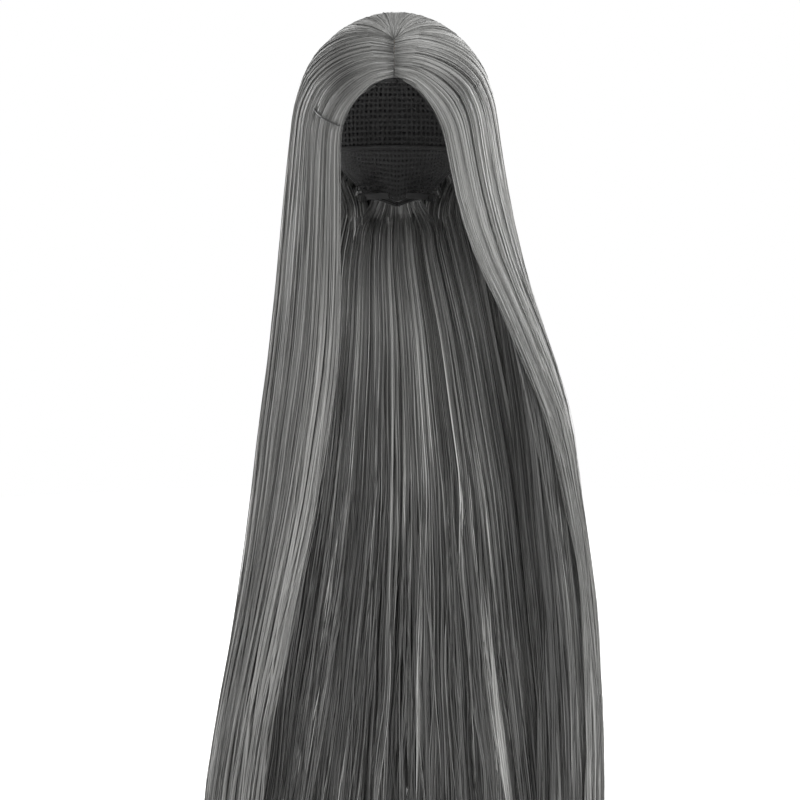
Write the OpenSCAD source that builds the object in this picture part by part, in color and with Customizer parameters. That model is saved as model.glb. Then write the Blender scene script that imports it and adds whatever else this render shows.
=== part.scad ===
// Long straight costume wig: a stretch cap, sewn weft rows, hair sections, nape adjusters and a hair grip.
// Millimetres, +Z up, the face opening looks towards -Y and the wearer's left is +X.
// The origin is the middle of the head that the cap is worn on.

/* [Head] */
// Half width of the head inside the cap
head_a = 77; // [75:0.5:78]
// Half depth of the head inside the cap, front to back
head_b = 98; // [96:0.5:99]
// Height of the top of the head above its middle
head_c = 104; // [102:0.5:105]

/* [Cap] */
// Thickness of the stretch net and of the elastic ribs
net_t = 0.8; // [0.6:0.1:1]
// Thickness of a sewn weft row
weft_t = 1.6; // [1.2:0.1:1.8]
// Height of a sewn weft row, as an angle seen from the middle of the head
weft_span = 4; // [3:0.5:5]
// Width of the ribs, as an angle seen from the middle of the head
rib_span = 5; // [4:0.5:6]

/* [Hair on the cap] */
// Half width of the hair over the temples
hair_a = 104; // [102:0.5:106]
// Half depth of the hair on the cap
hair_b = 114; // [112:0.5:116]
// Height of the hair over the crown
hair_c = 118; // [116:0.5:120]
// Distance that the hair on the cap sits behind the middle of the head
hair_y = 6; // [4:0.5:8]

/* [Adjusters] */
// Radius of the nape straps, seen from above
strap_r = 38.8; // [38:0.1:39]
// Width of the nape straps
strap_w = 6; // [5:0.5:6]
// Length of the row of loops, as an angle about the nape
ladder_span = 44; // [36:1:48]

/* [Hair grip] */
// Diameter of the grip's wire
wire_d = 1.5; // [1.2:0.1:1.6]
// Distance between the middles of the grip's legs
leg_gap = 3; // [2.6:0.1:3.2]
// Length of the grip's legs
leg_l = 46; // [40:1:48]

/* [Hidden] */

// Layers of the cap, as heights over the head
net_h = 0.4;
rib_h = net_h + net_t + 0.4;
weft_h = rib_h + net_t + 0.5;
root_h = weft_h + weft_t + 0.7;
// Widest angle between two neighbouring points of a curved panel
panel_step = 7.5;
// Highest angle of the panels, which leaves a small round eye at the whorl
eye = 87;

// The cap's edge: angle about the head from the front, then angle above the middle of the head
cap_edge = [[0, 32.6], [20, 31], [38, 25], [46, 19], [52, 12], [60, 0], [66, -14], [73, -20], [81, -19],
  [89, -7], [96, 0], [106, 2], [116, -6], [128, -24], [150, -42], [180, -50]];
// The seam above the front band, the ear tabs and the binding
crown_seam = [[0, 37.5], [20, 35.8], [38, 29.8], [46, 24], [52, 22], [60, 26], [180, 26]];
side_seam = [[54, 12], [60, 6.6], [104, 6.6], [116, -2], [128, -19]];
band_span = 4.2;
binding_span = 3.2;
seam_gap = 0.6;

// The face opening seen from the front, [across, up], from the end of the parting to the ear line
opening_left = [[0.4, 59], [13, 56], [26, 45], [37, 30], [45, 14], [49, 0.6]];
opening_right = [[0.4, 59], [14, 55], [28, 48], [42, 34], [52, 18], [56, 0.6]];
side_back = 128;

// Each hair fall as rows of [height, middle across, middle depth, half width, half depth,
// thickness, distance of the front edge from the middle]
right_rows = [[-0.5, 0, 6, 104, 114, 17, 56], [-55, 0, 6, 111, 112, 18, 55], [-120, 0, 6, 117, 108, 20, 55],
  [-218, 0, 6, 128, 104, 22, 60], [-290, 0, 6, 138, 102, 24, 70], [-370, 0, 6, 147, 100, 25, 82],
  [-470, 0, 6, 161, 98, 25, 104], [-585, 0, 6, 183, 98, 25, 128], [-670, 0, 6, 197, 98, 25, 140],
  [-750, 0, 6, 205, 96, 22, 148], [-815, 0, 6, 198, 92, 9, 150]];
left_rows = [[-0.5, 0, 6, 104, 114, 17, 49], [-50, 0, 6, 112, 112, 18, 58], [-92, 0, 8, 121, 106, 20, 64],
  [-118, 0, 10, 127, 98, 20, 76], [-145, 0, 14, 134, 84, 20, 96], [-180, 0, 20, 146, 66, 20, 112],
  [-218, 0, 26, 159, 50, 22, 120], [-290, 0, 28, 177, 44, 24, 130], [-370, 0, 28, 188, 44, 25, 138],
  [-475, 0, 28, 203, 44, 25, 148], [-585, 0, 28, 213, 44, 25, 156], [-670, 0, 28, 216, 44, 25, 160],
  [-750, 0, 28, 217, 44, 22, 162], [-815, 0, 28, 208, 42, 9, 162]];
back_rows = [[-0.5, 0, 6, 104, 114, 17], [-84, 0, 12, 114, 112, 24], [-218, 8, 20, 132, 110, 28],
  [-370, 14, 24, 155, 108, 30], [-585, 10, 28, 185, 108, 30], [-750, 6, 30, 200, 108, 26],
  [-815, 6, 30, 190, 104, 10]];
under_rows = [[-86, 0, 20, 76, 77, 26], [-130, 0, 20, 88, 79, 26], [-218, 8, 20, 101, 79, 24],
  [-370, 14, 22, 122, 77, 22], [-585, 10, 26, 151, 75, 22], [-750, 6, 28, 168, 75, 18],
  [-795, 6, 28, 164, 73, 7]];
// Depth of the gap between the side falls and the back fall
side_end = 55;
back_start = 57;
layer_gap = 0.8;

// Hinge lines of the falls: across for the side falls, depth for the back fall, both at height 0
side_hinge = hair_a + 0.5;
back_hinge = 104;

// The nape straps run about a vertical line inside the cap
nape_y = 28;
strap_t = 0.8;
strap_z = -72;
strap_from = 14;
strap_to = 76;
hook_from = 62;
hook_span = 10;
hook_wall = 0.9;
hook_play = 0.35;
ladder_r = 44.4;
ladder_z = -63.2;
ladder_w = 5;
ladder_from = 20;
loop_count = 4;

// The grip's bend, and where its legs point
grip_at = [-55.5, -88.8, 12];
grip_to = [-86.5, -49.5, 29.5];
grip_dir = (grip_to - grip_at) / norm(grip_to - grip_at);
grip_play = 0.9;

hair_shade = [0.52, 0.52, 0.51];
under_shade = [0.36, 0.36, 0.355];
net_shade = [0.2, 0.2, 0.2];

// Cap point: angle u about the head from the front, angle v above its middle, height h over it
function cap_point(u, v, h) =
  [(head_a + h) * cos(v) * sin(u), -(head_b + h) * cos(v) * cos(u), (head_c + h) * sin(v)];

// The same cap, by angle p from the front over the top to the back and angle q to the side
function arch_point(p, q, h) =
  [(head_a + h) * sin(q), -(head_b + h) * cos(q) * cos(p), (head_c + h) * cos(q) * sin(p)];

function hair_point(u, v) =
  [hair_a * cos(v) * sin(u), hair_y - hair_b * cos(v) * cos(u), hair_c * sin(v)];

function steps(from, to, widest) = max(1, ceil(abs(to - from) / widest));
function spread(from, to, n) = [for (i = [0:n]) from + (to - from) * i / n];

// Angle about an ellipsoid of half width a and height c at which it passes over [across, up]
function turn_at(p, a, c) = asin(p.x / (a * sqrt(1 - pow(p.y / c, 2))));

// Closed solid between two grids of points with the same rows and columns
module grid_solid(outer, inner) {
  rows = len(outer);
  cols = len(outer[0]);
  count = rows * cols;
  points = concat([for (row = outer) each row], [for (row = inner) each row]);
  skin = [for (r = [0:rows - 2], c = [0:cols - 2]) let (k = r * cols + c)
    each [[k, k + 1, k + cols], [k + 1, k + cols + 1, k + cols]]];
  lining = [for (f = skin) [f[2] + count, f[1] + count, f[0] + count]];
  rim = concat([for (c = [0:cols - 1]) c], [for (r = [1:rows - 1]) r * cols + cols - 1],
    [for (c = [cols - 2:-1:0]) (rows - 1) * cols + c], [for (r = [rows - 2:-1:1]) r * cols]);
  wall = [for (i = [0:len(rim) - 1]) let (a = rim[i], b = rim[(i + 1) % len(rim)])
    each [[b, a, a + count], [b, a + count, b + count]]];
  polyhedron(points, concat(skin, lining, wall));
}

// Panel of the cap between two seams, each a function of the angle about the head
module cap_panel(u0, u1, low, high, h, t) {
  us = spread(u0, u1, steps(u0, u1, panel_step));
  n = max([for (u = us) steps(lookup_around(u, low), lookup_around(u, high), panel_step * 1.4)]);
  function layer(height) =
    [for (u = us) [for (v = spread(lookup_around(u, low), lookup_around(u, high), n)) cap_point(u, v, height)]];
  grid_solid(layer(h + t), layer(h));
}

// The seams are the same on both sides of the head
function lookup_around(u, table) = let (w = u < 0 ? -u : (u > 180 ? 360 - u : u)) lookup(w, table);
function level(v) = [[0, v], [180, v]];
function raised(table, by) = [for (row = table) [row[0], row[1] + by]];

// Strip of the cap that runs over the head from front to back
module arch_strip(p0, p1, q0, q1, h, t) {
  function layer(height) = [for (p = spread(p0, p1, steps(p0, p1, panel_step)))
    [for (q = spread(q0, q1, steps(q0, q1, 10))) arch_point(p, q, height)]];
  grid_solid(layer(h), layer(h + t));
}

module front_band() {
  color("dimgray") cap_panel(-52, 52, cap_edge, raised(cap_edge, band_span), net_h, net_t);
}

module crown_net_left() {
  color(net_shade) cap_panel(0.3, 179.7, crown_seam, level(eye), net_h, net_t);
}

module crown_net_right() {
  mirror([1, 0, 0]) crown_net_left();
}

module side_net_left() {
  color(net_shade) cap_panel(54, side_back - seam_gap, side_seam, raised(crown_seam, -seam_gap), net_h, net_t);
}

module side_net_right() {
  mirror([1, 0, 0]) side_net_left();
}

module back_net() {
  color(net_shade) cap_panel(side_back, 360 - side_back, level(-12), level(26 - seam_gap), net_h, net_t);
}

module nape_panel() {
  color("dimgray")
    cap_panel(side_back, 360 - side_back, raised(cap_edge, binding_span + seam_gap), level(-12 - seam_gap),
      net_h, net_t);
}

module edge_binding() {
  color([0.12, 0.12, 0.12]) cap_panel(91, 269, cap_edge, raised(cap_edge, binding_span), net_h, net_t);
}

module ear_tab_left() {
  color("dimgray") cap_panel(61, 89.5, cap_edge, level(6.6 - seam_gap), net_h, net_t);
}

module ear_tab_right() {
  mirror([1, 0, 0]) ear_tab_left();
}

// The springy stay that keeps the ear tab against the cheek
module ear_tab_stay_left() {
  color("whitesmoke") cap_panel(75, 78, level(-16), level(4), rib_h, net_t);
}

module ear_tab_stay_right() {
  mirror([1, 0, 0]) ear_tab_stay_left();
}

module parting_skin() {
  color([0.8, 0.72, 0.64]) arch_strip(38.5, 64, -8, 8, rib_h, net_t);
}

module centre_rib() {
  color([0.12, 0.12, 0.12]) arch_strip(72, 221, -rib_span / 2, rib_span / 2, rib_h, net_t);
}

module inner_rib_left() {
  color([0.12, 0.12, 0.12]) arch_strip(72, 206, 24, 24 + rib_span, rib_h, net_t);
}

module inner_rib_right() {
  mirror([1, 0, 0]) inner_rib_left();
}

module outer_rib_left() {
  color([0.12, 0.12, 0.12]) arch_strip(62, 194, 50, 50 + rib_span, rib_h, net_t);
}

module outer_rib_right() {
  mirror([1, 0, 0]) outer_rib_left();
}

// Weft row from one side round the back to the other: height as an angle, reach each way from the back
module weft_row(v, reach) {
  color(under_shade)
    cap_panel(180 - reach, 180 + reach, level(v - weft_span / 2), level(v + weft_span / 2), weft_h, weft_t);
}

module weft_row_1() {
  weft_row(-42, 24);
}

module weft_row_2() {
  weft_row(-33, 38);
}

module weft_row_3() {
  weft_row(-24, 48);
}

module weft_row_4() {
  weft_row(-15, 56);
}

module weft_row_5() {
  weft_row(-6, 62);
}

module weft_row_6() {
  weft_row(4, 66);
}

module weft_row_7() {
  weft_row(14, 118);
}

module weft_row_8() {
  weft_row(24, 124);
}

module crown_weft_rows() {
  for (i = [0:4]) weft_row(34 + 10 * i, 132 - 10 * i);
}

// Arc about the vertical line of the nape straps, by angle from the back of the neck to the wearer's left
module nape_arc(r, t, z, w, from, to) {
  translate([0, nape_y, z]) rotate([0, 0, 90 - to])
    rotate_extrude(angle = to - from, $fn = 96) translate([r - t / 2, 0]) square([t, w]);
}

module nape_strap_left() {
  color([0.15, 0.15, 0.15]) nape_arc(strap_r, strap_t, strap_z, strap_w, strap_from, strap_to);
}

module nape_strap_right() {
  mirror([1, 0, 0]) nape_strap_left();
}

// Slider that rides on the strap, with a hook on its lower edge
module adjuster_hook_left() {
  frame_t = strap_t + 2 * (hook_play + hook_wall);
  frame_z = strap_z - hook_play - hook_wall;
  frame_w = strap_w + 2 * (hook_play + hook_wall);
  color("black") {
    difference() {
      nape_arc(strap_r, frame_t, frame_z, frame_w, hook_from, hook_from + hook_span);
      nape_arc(strap_r, strap_t + 2 * hook_play, strap_z - hook_play, strap_w + 2 * hook_play,
        hook_from - 1, hook_from + hook_span + 1);
    }
    nape_arc(strap_r - frame_t / 2 - 0.3, 1, frame_z, 2, hook_from - 4, hook_from + 3);
    nape_arc(strap_r - frame_t / 2 - 0.3, 1, frame_z, 5, hook_from - 6, hook_from - 3.5);
  }
}

module adjuster_hook_right() {
  mirror([1, 0, 0]) adjuster_hook_left();
}

// Band with a row of open loops that the hook drops into
module loop_ladder_left() {
  pitch = ladder_span / loop_count;
  color([0.15, 0.15, 0.15]) difference() {
    nape_arc(ladder_r, strap_t, ladder_z, ladder_w, ladder_from, ladder_from + ladder_span);
    for (i = [0:loop_count - 1])
      nape_arc(ladder_r, 2 * strap_t, ladder_z + 1.2, ladder_w - 2.4,
        ladder_from + pitch * (i + 0.2), ladder_from + pitch * (i + 0.8));
  }
}

module loop_ladder_right() {
  mirror([1, 0, 0]) loop_ladder_left();
}

// Hair from the parting down to the face opening, on the wearer's left
module front_hair(opening) {
  n = 6;
  us_out = [for (p = opening) turn_at(p, hair_a, hair_c)];
  us_in = [for (p = opening) turn_at(p, head_a + root_h, head_c + root_h)];
  outer = [for (i = [0:len(opening) - 1])
    [for (v = spread(asin(opening[i].y / hair_c), eye, n)) hair_point(us_out[i], v)]];
  inner = [for (i = [0:len(opening) - 1])
    [for (v = spread(asin(opening[i].y / (head_c + root_h)), eye, n)) cap_point(us_in[i], v, root_h)]];
  grid_solid(outer, inner);
}

// Hair over the ear, from the front hair round to the crown hair
module side_hair(opening) {
  foot = opening[len(opening) - 1];
  from_out = turn_at(foot, hair_a, hair_c) + 0.5;
  from_in = turn_at(foot, head_a + root_h, head_c + root_h) + 0.5;
  n = steps(from_out, side_back, panel_step * 1.3);
  outer = [for (u = spread(from_out, side_back, n)) [for (v = spread(0.4, eye, 8)) hair_point(u, v)]];
  inner = [for (u = spread(from_in, side_back, n)) [for (v = spread(0.4, eye, 8)) cap_point(u, v, root_h)]];
  grid_solid(outer, inner);
}

// Straight channel in the hair for the grip and its way out
module grip_slot() {
  width = leg_gap + wire_d + 2 * grip_play;
  grip_place() translate([-40, -width / 2, -wire_d / 2 - grip_play])
    cube([40 + leg_l + 3, width + 8, wire_d + 2 * grip_play]);
}

module front_hair_left() {
  color(hair_shade) front_hair(opening_left);
}

module front_hair_right() {
  color(hair_shade) difference() {
    mirror([1, 0, 0]) front_hair(opening_right);
    grip_slot();
  }
}

module side_hair_left() {
  color(hair_shade) side_hair(opening_left);
}

module side_hair_right() {
  color(hair_shade) difference() {
    mirror([1, 0, 0]) side_hair(opening_right);
    grip_slot();
  }
}

module crown_hair() {
  us = spread(side_back + 0.5, 359.5 - side_back, 12);
  color(hair_shade) grid_solid([for (u = us) [for (v = spread(5.5, eye, 8)) hair_point(u, v)]],
    [for (u = us) [for (v = spread(5.5, eye, 8)) cap_point(u, v, root_h)]]);
}

// Point of a fall's section: middle across and depth, half width and depth, angle from the front
function fall_point(x, y, a, b, turn, z) = [x + a * sin(turn), y - b * cos(turn), z];

// Part of a side fall, on the wearer's left, between two shares of its thickness
module side_fall(rows, from, to, gap) {
  n = 9;
  function layer(share, inset) = [for (r = rows)
    let (d = min(r[5] * share + inset, r[4] - 6), a = r[3] - d, b = r[4] - d)
    let (end = acos(-(side_end - r[2]) / r[4]))
    [for (turn = spread(asin(min(r[6] / a, 0.97)), end, n)) fall_point(r[1], r[2], a, b, turn, r[0])]];
  grid_solid(layer(from, 0), layer(to, -gap));
}

// Back fall between two half turns, cut off where the side falls begin
module back_fall(rows) {
  n = 16;
  function layer(inset) = [for (r = rows)
    let (a = r[3] - r[5] * inset, b = r[4] - r[5] * inset, start = acos(-(back_start - r[2]) / b))
    [for (turn = spread(start, 360 - start, n)) fall_point(r[1], r[2], a, b, turn, r[0])]];
  grid_solid(layer(0), layer(1));
}

module left_fall_outer() {
  color(hair_shade) side_fall(left_rows, 0, 0.5, layer_gap);
}

module left_fall_inner() {
  color(under_shade) side_fall(left_rows, 0.5, 1, 0);
}

module right_fall_outer() {
  color(hair_shade) mirror([1, 0, 0]) side_fall(right_rows, 0, 0.5, layer_gap);
}

module right_fall_inner() {
  color(under_shade) mirror([1, 0, 0]) side_fall(right_rows, 0.5, 1, 0);
}

module back_fall_outer() {
  color(hair_shade) back_fall(back_rows);
}

module back_fall_inner() {
  color(under_shade) back_fall(under_rows);
}

// Moves a shape drawn along +X to the grip's place, with its legs one above the other in the hair
module grip_place() {
  translate(grip_at) rotate([0, -asin(grip_dir.z), atan2(grip_dir.y, grip_dir.x)]) children();
}

module hair_grip() {
  color([0.1, 0.1, 0.1]) grip_place() {
    rotate([0, 0, 90]) rotate_extrude(angle = 180, $fn = 48)
      translate([leg_gap / 2, 0]) circle(d = wire_d, $fn = 20);
    for (side = [-1, 1]) translate([0, side * leg_gap / 2, 0]) {
      rotate([0, 90, 0]) cylinder(h = leg_l, d = wire_d, $fn = 20);
      translate([leg_l, 0, 0]) sphere(d = wire_d * 1.3, $fn = 20);
    }
  }
}

front_band();
crown_net_left();
crown_net_right();
side_net_left();
side_net_right();
back_net();
nape_panel();
edge_binding();
ear_tab_left();
ear_tab_right();
ear_tab_stay_left();
ear_tab_stay_right();
parting_skin();
centre_rib();
inner_rib_left();
inner_rib_right();
outer_rib_left();
outer_rib_right();
weft_row_1();
weft_row_2();
weft_row_3();
weft_row_4();
weft_row_5();
weft_row_6();
weft_row_7();
weft_row_8();
crown_weft_rows();
nape_strap_left();
nape_strap_right();
adjuster_hook_left();
adjuster_hook_right();
loop_ladder_left();
loop_ladder_right();
front_hair_left();
front_hair_right();
side_hair_left();
side_hair_right();
crown_hair();
left_fall_outer();
left_fall_inner();
right_fall_outer();
right_fall_inner();
back_fall_outer();
back_fall_inner();
hair_grip();
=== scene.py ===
import math

import bpy
import numpy as np
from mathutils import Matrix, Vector


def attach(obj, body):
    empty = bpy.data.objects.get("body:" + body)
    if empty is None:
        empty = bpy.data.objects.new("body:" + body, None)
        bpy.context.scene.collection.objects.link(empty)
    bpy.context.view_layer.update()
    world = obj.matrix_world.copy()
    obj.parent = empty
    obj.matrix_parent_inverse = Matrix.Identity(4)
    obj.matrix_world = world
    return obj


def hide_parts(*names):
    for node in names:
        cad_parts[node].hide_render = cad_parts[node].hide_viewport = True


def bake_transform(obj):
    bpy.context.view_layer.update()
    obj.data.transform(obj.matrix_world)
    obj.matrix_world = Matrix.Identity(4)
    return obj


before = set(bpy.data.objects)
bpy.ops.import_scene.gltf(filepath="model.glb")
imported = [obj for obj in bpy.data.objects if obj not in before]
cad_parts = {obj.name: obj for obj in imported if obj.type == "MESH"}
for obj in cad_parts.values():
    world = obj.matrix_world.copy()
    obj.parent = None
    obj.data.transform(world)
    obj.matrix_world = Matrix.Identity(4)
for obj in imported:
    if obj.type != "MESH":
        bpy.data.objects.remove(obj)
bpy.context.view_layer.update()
scene = bpy.context.scene
rng = np.random.default_rng(396)
MM = 0.001


# ---------------------------------------------------------------- camera, floor and light
def look_at(obj, point):
    obj.rotation_euler = (Vector(point) - obj.location).to_track_quat("-Z", "Y").to_euler()


camera = bpy.data.objects.new("camera", bpy.data.cameras.new("camera"))
scene.collection.objects.link(camera)
camera.location = (0.003, -2.5, 0.16)
camera.data.sensor_width = 36
camera.data.lens = 114
camera.data.clip_end = 50
look_at(camera, (0.003, 0.0, -0.268))
scene.camera = camera
scene.view_settings.view_transform = "Standard"


def area_light(name, place, aim, size, power):
    data = bpy.data.lights.new(name, "AREA")
    data.shape = "DISK"
    data.size = size
    data.energy = power
    lamp = bpy.data.objects.new(name, data)
    scene.collection.objects.link(lamp)
    lamp.location = place
    look_at(lamp, aim)


area_light("key", (1.5, -2.1, 0.9), (0, 0, -0.15), 1.2, 46)
area_light("fill", (-1.5, -2.0, 0.5), (0, 0, -0.3), 1.6, 5)
area_light("top", (0.1, 0.1, 1.9), (0, 0, 0), 1.0, 18)
area_light("rim_left", (-1.7, 0.8, 0.2), (0, 0, -0.3), 1.2, 26)
area_light("rim_right", (1.7, 0.8, 0.2), (0, 0, -0.3), 1.2, 30)

world = bpy.data.worlds.new("studio")
scene.world = world
world.use_nodes = True
backdrop = world.node_tree.nodes["Background"]
backdrop.inputs["Color"].default_value = (1, 1, 1, 1)
seen = world.node_tree.nodes.new("ShaderNodeMapRange")
seen.inputs["To Min"].default_value = 0.52
seen.inputs["To Max"].default_value = 1.0
light_path = world.node_tree.nodes.new("ShaderNodeLightPath")
world.node_tree.links.new(light_path.outputs["Is Camera Ray"], seen.inputs["Value"])
world.node_tree.links.new(seen.outputs["Result"], backdrop.inputs["Strength"])


def mesh_object(name, points, faces):
    """A smooth mesh from an array of points and an array of equal-sided faces."""
    points, faces = np.asarray(points, np.float32).reshape(-1, 3), np.asarray(faces, np.int32)
    sides = faces.shape[1]
    mesh = bpy.data.meshes.new(name)
    mesh.vertices.add(len(points))
    mesh.vertices.foreach_set("co", points.ravel())
    mesh.loops.add(faces.size)
    mesh.loops.foreach_set("vertex_index", faces.ravel())
    mesh.polygons.add(len(faces))
    mesh.polygons.foreach_set("loop_start", np.arange(0, faces.size, sides, dtype=np.int32))
    mesh.polygons.foreach_set("use_smooth", np.ones(len(faces), bool))
    mesh.update(calc_edges=True)
    obj = bpy.data.objects.new(name, mesh)
    scene.collection.objects.link(obj)
    return obj


# ---------------------------------------------------------------- materials
class Nodes:
    """A material's node tree, made in a few words."""

    def __init__(self, name, roughness=0.5, **uniform):
        self.material = bpy.data.materials.new(name)
        self.material.use_nodes = True
        self.tree = self.material.node_tree
        self.shader = self.tree.nodes["Principled BSDF"]
        self.shader.inputs["Roughness"].default_value = roughness
        for socket, value in uniform.items():
            self.shader.inputs[socket.replace("_", " ")].default_value = value

    def add(self, kind, links=None, **settings):
        node = self.tree.nodes.new("ShaderNode" + kind)
        for key, value in settings.items():
            setattr(node, key, value)
        for socket, value in (links or {}).items():
            target = node.inputs[socket]
            if isinstance(value, bpy.types.NodeSocket):
                self.tree.links.new(value, target)
            else:
                target.default_value = value
        return node

    def math(self, operation, a, b=0.5):
        return self.add("Math", {0: a, 1: b}, operation=operation).outputs[0]

    def ramp(self, value, stops):
        node = self.add("ValToRGB", {0: value})
        ramp = node.color_ramp
        while len(ramp.elements) < len(stops):
            ramp.elements.new(0.5)
        for element, (place, shade) in zip(ramp.elements, stops):
            element.position = place
            element.color = (*shade, 1) if hasattr(shade, "__len__") else (shade, shade, shade, 1)
        return node.outputs["Color"]

    def to(self, socket, value):
        self.tree.links.new(value, self.shader.inputs[socket])

    def bump(self, height, strength, distance):
        node = self.add("Bump", {"Height": height, "Strength": strength, "Distance": distance})
        self.to("Normal", node.outputs["Normal"])

    def place(self):
        return self.add("TexCoord").outputs["Object"]

    def noise(self, vector, scale, detail=4.0):
        return self.add("TexNoise", {"Vector": vector, "Scale": scale, "Detail": detail}).outputs[0]


def hair_material(name, dark, light, roughness, middle=0.2):
    m = Nodes(name, roughness, Specular_IOR_Level=0.5)
    tone = m.add("Attribute", attribute_name="tone").outputs["Fac"]
    stretched = m.add("Mapping", {"Vector": m.place(), "Scale": (260, 260, 6)}).outputs["Vector"]
    fibres = m.noise(stretched, 3.0, 3.0)
    mixed = m.math("ADD", tone, m.math("MULTIPLY", m.math("SUBTRACT", fibres, 0.5), 0.35))
    m.to("Base Color", m.ramp(mixed, [(0.0, dark), (0.5, [middle * c / light[0] for c in light]), (1.0, light)]))
    m.bump(fibres, 0.25, 0.0003)
    return m.material


# tone runs from 0, dark, to 1, light; only a few lit locks reach 1 in the inner hair
HAIR = hair_material("hair_fibre", (0.045, 0.045, 0.043), (0.40, 0.40, 0.388), 0.40)
# Painted shade: the inner layers get a darker copy of the same fibre; its lighter top end carries the painted
# highlights of the lit locks.
INNER_HAIR_PAINTED_SHADE = hair_material("under_hair_painted_shade", (0.018, 0.018, 0.0175), (0.46, 0.46, 0.448), 0.40, 0.12)

# ---------------------------------------------------------------- the shape of the hair
# In millimetres. The head, the falls' rows and the hinges have the CAD source's values. The crown is 2 mm lower
# than there, as single strands stand out of it, and the top of the face opening is up to 3 mm higher.
HEAD = np.array([77.0, 98.0, 104.0])
HAIR_AXES = np.array([104.0, 114.0, 115.8])
HAIR_TOP = 118.0
INNER_AXES = np.array([87.0, 97.0, 109.0])
HAIR_Y = 6.0
ROOT_H = 5.2
SIDE_END, BACK_START = 55.0, 57.0
WHORL_V = 56.0
PARTING_V = 32.4
PARTING_X = -2.6
OPENING = {
    "left": [[0.4, 62], [13, 58], [26, 46], [37, 30], [45, 14], [49, 0.6]],
    "right": [[0.4, 62], [14, 57.5], [28, 48.5], [42, 34], [52, 18], [56, 0.6]],
}
# Height, middle across, middle depth, half width, half depth, thickness, front edge
ROWS = {
    "right": [[-0.5, 0, 6, 104, 114, 17, 56], [-55, 0, 6, 111, 112, 18, 55], [-120, 0, 6, 117, 108, 20, 55],
              [-218, 0, 6, 128, 104, 22, 60], [-290, 0, 6, 138, 102, 24, 70], [-370, 0, 6, 147, 100, 25, 82],
              [-470, 0, 6, 161, 98, 25, 104], [-585, 0, 6, 183, 98, 25, 128], [-670, 0, 6, 197, 98, 25, 140],
              [-750, 0, 6, 205, 96, 22, 148], [-815, 0, 6, 198, 92, 9, 150]],
    "left": [[-0.5, 0, 6, 104, 114, 17, 49], [-50, 0, 6, 112, 112, 18, 58], [-92, 0, 8, 121, 106, 20, 64],
             [-118, 0, 10, 127, 98, 20, 76], [-145, 0, 14, 134, 84, 20, 96], [-180, 0, 20, 146, 66, 20, 112],
             [-218, 0, 26, 159, 50, 22, 120], [-290, 0, 28, 177, 44, 24, 130], [-370, 0, 28, 188, 44, 25, 138],
             [-475, 0, 28, 203, 44, 25, 148], [-585, 0, 28, 213, 44, 25, 156], [-670, 0, 28, 216, 44, 25, 160],
             [-750, 0, 28, 217, 44, 22, 162], [-815, 0, 28, 208, 42, 9, 162]],
    "back": [[-0.5, 0, 6, 104, 114, 17, 0], [-84, 0, 12, 114, 112, 24, 0], [-218, 8, 20, 132, 110, 28, 0],
             [-370, 14, 24, 155, 108, 30, 0], [-585, 10, 28, 185, 108, 30, 0], [-750, 6, 30, 200, 108, 26, 0],
             [-815, 6, 30, 190, 104, 10, 0]],
    "under": [[-86, 0, 20, 76, 77, 26, 0], [-130, 0, 20, 88, 79, 26, 0], [-218, 8, 20, 101, 79, 24, 0],
              [-370, 14, 22, 122, 77, 22, 0], [-585, 10, 26, 151, 75, 22, 0], [-750, 6, 28, 168, 75, 18, 0],
              [-795, 6, 28, 164, 73, 7, 0]],
}


def smooth_rows(rows, reach=16.0):
    """The columns of a fall against height, every 2 mm, with the corners between its rows rounded off."""
    rows = np.array(rows, float)
    grid = np.arange(rows[0, 0], -861.0, -2.0)
    kernel = np.exp(-0.5 * (np.arange(-30, 31) * 2.0 / reach) ** 2)
    kernel /= kernel.sum()
    out = [grid]
    for column in range(1, rows.shape[1]):
        line = np.interp(grid, rows[::-1, 0], rows[::-1, column])
        padded = np.concatenate([2 * line[0] - line[30:0:-1], line, np.full(30, line[-1])])
        out.append(np.convolve(padded, kernel, "valid"))
    return np.array(out)


# The lit outer layer of the left fall lies further round its side than the inner layer, below the shoulder
LEFT_OUTER_EDGE = [[-0.5, 49], [-50, 58], [-92, 64], [-118, 76], [-145, 96], [-180, 112], [-218, 124],
                   [-260, 143], [-318, 161], [-370, 172], [-420, 183], [-475, 190], [-585, 195], [-670, 198],
                   [-750, 199], [-815, 194]]
OUTER = smooth_rows([row + [0.0] for row in LEFT_OUTER_EDGE], 20.0)
SMOOTH = {name: smooth_rows(rows) for name, rows in ROWS.items()}


def fall_point(region, s, d, z):
    """Point and outward normal at share s of the way round, share d of the way in, and height z in mm."""
    grid = SMOOTH[region]
    x0, y0, a, b, thick, edge = (np.interp(z, grid[0][::-1], column[::-1]) for column in grid[1:])
    if region == "left":
        edge = np.where(d < 0.5, np.interp(z, OUTER[0][::-1], OUTER[1][::-1]), edge)
    end = np.arccos(np.clip(-((SIDE_END if region in ("left", "right") else BACK_START) - y0) / b, -1, 1))
    a, b = a - d * thick, b - d * thick
    if region in ("left", "right"):
        start = np.arcsin(np.minimum(edge / a, 0.97))
    else:
        start = np.arccos(np.clip(-(BACK_START - y0) / b, -1, 1))
        end = 2 * np.pi - start
    turn = start + (end - start) * s
    sign = -1 if region == "right" else 1
    point = np.stack([sign * (x0 + a * np.sin(turn)), y0 - b * np.cos(turn), z], -1)
    normal = np.stack([sign * np.sin(turn) / a, -np.cos(turn) / b, np.zeros_like(z)], -1)
    return point, normal / np.linalg.norm(normal, axis=-1, keepdims=True)


def direction(u, v):
    return np.stack([np.cos(v) * np.sin(u), -np.cos(v) * np.cos(u), np.sin(v)], -1)


def unit(v):
    return v / np.maximum(np.linalg.norm(v, axis=-1, keepdims=True), 1e-9)


def ease(x):
    x = np.clip(x, 0, 1)
    return x * x * (3 - 2 * x)


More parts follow.
